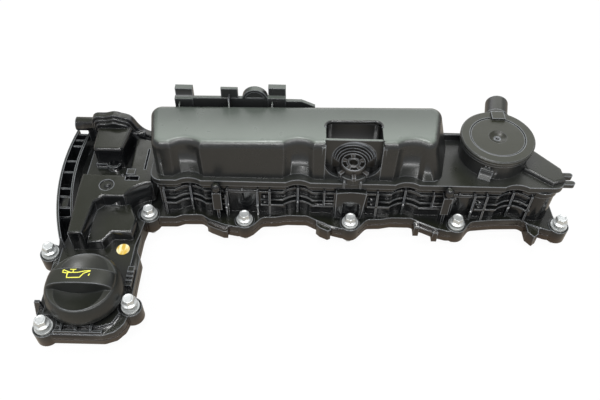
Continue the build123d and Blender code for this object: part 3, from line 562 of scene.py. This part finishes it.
def half_bellows():
    """A closed profile over half a turn: its top is a slope plus a cosine of the radius."""
    inner, outer, foot, first_rib, rib_pitch, rib_height = 11.0, 17.2, 0.2, 11.8, 1.75, 0.9
    turn = np.radians(np.linspace(3.0, 177.0, 90))
    span = np.linspace(inner, outer, 80)
    ribs = (5.4 + 0.95 * (span - inner)
            + rib_height * np.cos(2 * np.pi * (span - first_rib) / rib_pitch))
    radius = np.concatenate([[inner], span, [outer]])
    height = np.concatenate([[foot], ribs, [foot]])
    rows = np.stack([np.outer(np.cos(turn), radius), np.outer(np.sin(turn), radius),
                     np.broadcast_to(height, (len(turn), len(radius)))], axis=-1)
    return ring_mesh("mount_bellows", rows, mount_origin)


mount_rubber = moulded_skin("mount_rubber", "#1f1d1b", "#2b2926", "#35322f", 0.33, 0.0004)
hub = new_piece(mount_hub(), mount_rubber)
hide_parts("mount_grommet")
for piece in (hub, new_piece(half_bellows(), mount_rubber)):
    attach(piece, "cover")


# ---- filler cap ---------------------------------------------------------------------------------
# Unfilled nylon, moulded in a polished tool: smoother and more even than the body.  A straight
# grip stands between two finger scoops, and carries the printed sign of the oil filler.
cap_height = 0.023
cap_low, cap_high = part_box("filler_cap")
cap_origin = ((cap_low.x + cap_high.x) / 2, (cap_low.y + cap_high.y) / 2,
              cap_high.z - cap_height)
rim, face_height = 25.4, 15.0


def cap_top(x, y):
    """Height in mm: a flat face dug by two balls beside the grip, and the grip's domed ridge."""
    ball_radius, ball_middle, grip_half, ridge_height = 36.0, 46.0, 7.0, 7.9
    corner, corner_start = 0.8, 24.6
    beside = np.maximum(np.abs(y) - grip_half, 0.0)
    ball = ball_middle - np.sqrt(np.maximum(ball_radius ** 2 - x ** 2 - beside ** 2, 1.0))
    face = np.minimum(face_height, ball)
    ring = np.clip(np.hypot(x, y) / rim, 0.0, 1.0)
    ridge = face_height + ridge_height * (1.0 - ring ** 3.2) ** 0.58
    step = np.clip((grip_half + 0.5 - np.abs(y)) / 1.1, 0.0, 1.0)
    edge = np.maximum(np.hypot(x, y) - corner_start, 0.0)
    rounding = corner - np.sqrt(corner ** 2 - edge ** 2)
    return face + (ridge - face) * step * step * (3 - 2 * step) - rounding


def screw_cap():
    """Lathe profile of underside, plug and bulging wall, closed on top by cap_top over a disc."""
    steps, wall_out, wall_bulge, wall_drop = 480, 3.6, 3.4, 11.0
    turn = np.linspace(0.0, 2 * np.pi, steps, endpoint=False)
    profile = [(0.3, 1.5), (13.4, 1.5), (13.4, -13.0), (16.0, -13.0), (16.0, 1.6), (20.4, 1.6),
               (20.4, 6.0), (26.0, 6.0), (26.0, 0.0), (28.4, 0.0), (28.8, 0.2), (28.98, 0.6),
               (28.98, 4.0)]
    profile += [(rim + wall_out * t + wall_bulge * t * (1 - t), face_height - wall_drop * t)
                for t in np.linspace(0.97, 0.08, 24)]
    for r in np.concatenate([np.linspace(25.38, 24.6, 8), np.linspace(24.4, 0.4, 110)]):
        profile.append((r, cap_top(r * np.cos(turn), r * np.sin(turn))))
    return lathe_mesh("screw_cap", profile, steps, cap_origin)


cap_nylon = moulded_skin("cap_nylon", "#161817", "#1e201e", "#20221a", 0.36, 0.0002)
cap = new_piece(screw_cap(), cap_nylon)
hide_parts("filler_cap")
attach(cap, "cap")


def printed_stroke(name, points):
    """Ribbon along a line of points, laid on cap_top, its ends and corners mitred by their mean."""
    width, thickness = 0.85, 0.05
    path = np.array(points)
    path = np.concatenate([np.linspace(a, b, 6, endpoint=False) for a, b in zip(path, path[1:])]
                          + [path[-1:]])
    along = np.gradient(path, axis=0)
    along /= np.linalg.norm(along, axis=1)[:, None]
    across = np.stack([-along[:, 1], along[:, 0]], axis=1) * width / 2
    flat = np.concatenate([path + across, path - across])
    lift = cap_top(flat[:, 0], flat[:, 1]) + thickness
    count = len(path)
    mesh = bpy.data.meshes.new(name)
    mesh.from_pydata((np.column_stack([flat, lift]) / 1000 + cap_origin).tolist(), [],
                     [(i, i + count, i + count + 1, i + 1) for i in range(count - 1)])
    return mesh


def printing_ink():
    """Yellow pad-printing ink, a little uneven where it covers the black."""
    patch_size = 0.0015
    material = bpy.data.materials.new("pad_print_ink")
    material.use_nodes = True
    shader = material.node_tree.nodes["Principled BSDF"]
    place = add(material, "ShaderNodeTexCoord")
    cover = add(material, "ShaderNodeTexNoise", None,
                {"Vector": place.outputs["Object"], "Scale": 1 / patch_size, "Detail": 3.0})
    tint = add(material, "ShaderNodeMix", {"data_type": "RGBA"},
               {"Factor": cover.outputs["Fac"], 6: linear("#c4c23c"), 7: linear("#e4e25e")})
    material.node_tree.links.new(tint.outputs[2], shader.inputs["Base Color"])
    shader.inputs["Roughness"].default_value = 0.5
    return material


ink = printing_ink()
strokes = {"can": [(-8.4, 1.9), (-8.0, -2.4), (1.2, -2.0), (3.4, 1.6), (8.0, 3.9)],
           "shoulder": [(-8.6, 2.0), (-1.0, 2.3), (3.6, 3.6), (8.0, 4.2)],
           "handle": [(-8.4, 1.6), (-12.0, 2.3), (-12.0, 4.6), (-8.9, 3.2), (-6.2, 2.1)],
           "filler": [(-7.0, 4.8), (-2.6, 4.9)], "stem": [(-4.6, 4.8), (-4.4, 2.3)],
           "drop": [(7.9, 1.6), (7.3, -0.4)]}
for part, points in strokes.items():
    piece = new_piece(printed_stroke("oil_sign_" + part, points), ink)
    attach(piece, "cap")


# ---- inspection dot -----------------------------------------------------------------------------
# Dab of yellow marking paint, put on by hand after the pressure test, with pale marks where the
# applicator was drawn through it.
def marking_paint():
    """Yellow paint with pale streaks drawn through it from back to front."""
    streak_width, stretch = 0.0022, 0.22
    material = bpy.data.materials.new("marking_paint")
    material.use_nodes = True
    shader = material.node_tree.nodes["Principled BSDF"]
    place = add(material, "ShaderNodeTexCoord")
    drawn = add(material, "ShaderNodeMapping", {"vector_type": "POINT"},
                {"Vector": place.outputs["Object"], "Scale": (1.0, stretch, 1.0)})
    drag = add(material, "ShaderNodeTexNoise", None,
               {"Vector": drawn.outputs["Vector"], "Scale": 1 / streak_width, "Detail": 3.0})
    streak = add(material, "ShaderNodeMapRange", None,
                 {"Value": drag.outputs["Fac"], "From Min": 0.46, "From Max": 0.62})
    tint = add(material, "ShaderNodeMix", {"data_type": "RGBA"},
               {"Factor": streak.outputs["Result"], 6: linear("#c9a83e"), 7: linear("#ece2b4")})
    material.node_tree.links.new(tint.outputs[2], shader.inputs["Base Color"])
    shader.inputs["Roughness"].default_value = 0.4
    return material


coat(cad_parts["inspection_dot"], marking_paint())


# ---- bench, light and camera --------------------------------------------------------------------
# White table that throws warm light back up, a soft box behind the cover that its roof mirrors, a
# long strip in front that draws the edges, a small lamp above, and an even sky.
table_half = 3.0
table_mesh = bpy.data.meshes.new("table")
corners = [(x * table_half, y * table_half, 0) for x, y in ((-1, -1), (1, -1), (1, 1), (-1, 1))]
table_mesh.from_pydata(corners, [], [(0, 1, 2, 3)])
table_top = bpy.data.objects.new("table", table_mesh)
bpy.context.scene.collection.objects.link(table_top)
white = bpy.data.materials.new("table_white")
white.use_nodes = True
white.node_tree.nodes.clear()
# The camera sees white with the cover's shadow on it; every other ray meets warm grey paper.
path = add(white, "ShaderNodeLightPath")
paper = add(white, "ShaderNodeBsdfDiffuse", None, {"Color": (0.9, 0.9, 0.9, 1.0)})
glow = add(white, "ShaderNodeEmission", None, {"Color": (1.0, 1.0, 1.0, 1.0), "Strength": 1.0})
plain = add(white, "ShaderNodeMixShader", None,
            {0: 0.95, 1: paper.outputs["BSDF"], 2: glow.outputs["Emission"]})
warm = add(white, "ShaderNodeBsdfDiffuse", None, {"Color": linear("#aca498")})
blend = add(white, "ShaderNodeMixShader", None,
            {0: path.outputs["Is Camera Ray"], 1: warm.outputs["BSDF"], 2: plain.outputs["Shader"]})
add(white, "ShaderNodeOutputMaterial", None, {"Surface": blend.outputs["Shader"]})
table_mesh.materials.append(white)

world = bpy.data.worlds.new("studio")
bpy.context.scene.world = world
world.use_nodes = True
world.node_tree.nodes.clear()
sky_light, sky_seen = 0.56, 1.0
sky_path = add(world, "ShaderNodeLightPath")
sky_level = add(world, "ShaderNodeMapRange", None,
                {"Value": sky_path.outputs["Is Camera Ray"], "To Min": sky_light,
                 "To Max": sky_seen})
sky = add(world, "ShaderNodeBackground", None,
          {"Color": (1.0, 1.0, 1.0, 1.0), "Strength": sky_level.outputs["Result"]})
add(world, "ShaderNodeOutputWorld", None, {"Surface": sky.outputs["Background"]})


def soft_box(name, place, aim, width, depth, watts):
    """Rectangular lamp at a place, turned to face the aim point."""
    lamp = bpy.data.lights.new(name, "AREA")
    lamp.shape = "RECTANGLE"
    lamp.size = width
    lamp.size_y = depth
    lamp.energy = watts
    holder = bpy.data.objects.new(name, lamp)
    bpy.context.scene.collection.objects.link(holder)
    holder.location = place
    holder.rotation_euler = (Vector(aim) - Vector(place)).to_track_quat("-Z", "Y").to_euler()


soft_box("back_wall", (0.36, 1.7, 0.85), (0.36, 0.0, 0.08), 2.2, 1.5, 17.0)
soft_box("front_strip", (0.0, -0.75, 1.35), (0.0, 0.0, 0.05), 2.0, 0.11, 21.0)
soft_box("top_box", (-0.10, 0.10, 1.6), (-0.05, 0.0, 0.05), 0.45, 0.22, 9.0)

eye = Vector((front_bolt.x, front_bolt.y, gasket_face)) + Vector((-0.0421, -0.3394, 0.4399))
pitch, roll = math.radians(49.5), math.radians(1.3)
forward = Vector((0.0, math.cos(pitch), -math.sin(pitch)))
level_up = Vector((0.0, math.sin(pitch), math.cos(pitch)))
right = math.cos(roll) * Vector((1.0, 0.0, 0.0)) + math.sin(roll) * level_up
up = right.cross(forward)
lens = bpy.data.cameras.new("camera")
lens.sensor_width = 36.0
lens.lens = 39.0
lens.clip_start = 0.01
camera = bpy.data.objects.new("camera", lens)
bpy.context.scene.collection.objects.link(camera)
turned = Matrix((right, up, -forward)).transposed().to_4x4()
camera.matrix_world = Matrix.Translation(eye) @ turned
bpy.context.scene.camera = camera
bpy.context.scene.view_settings.view_transform = "Standard"
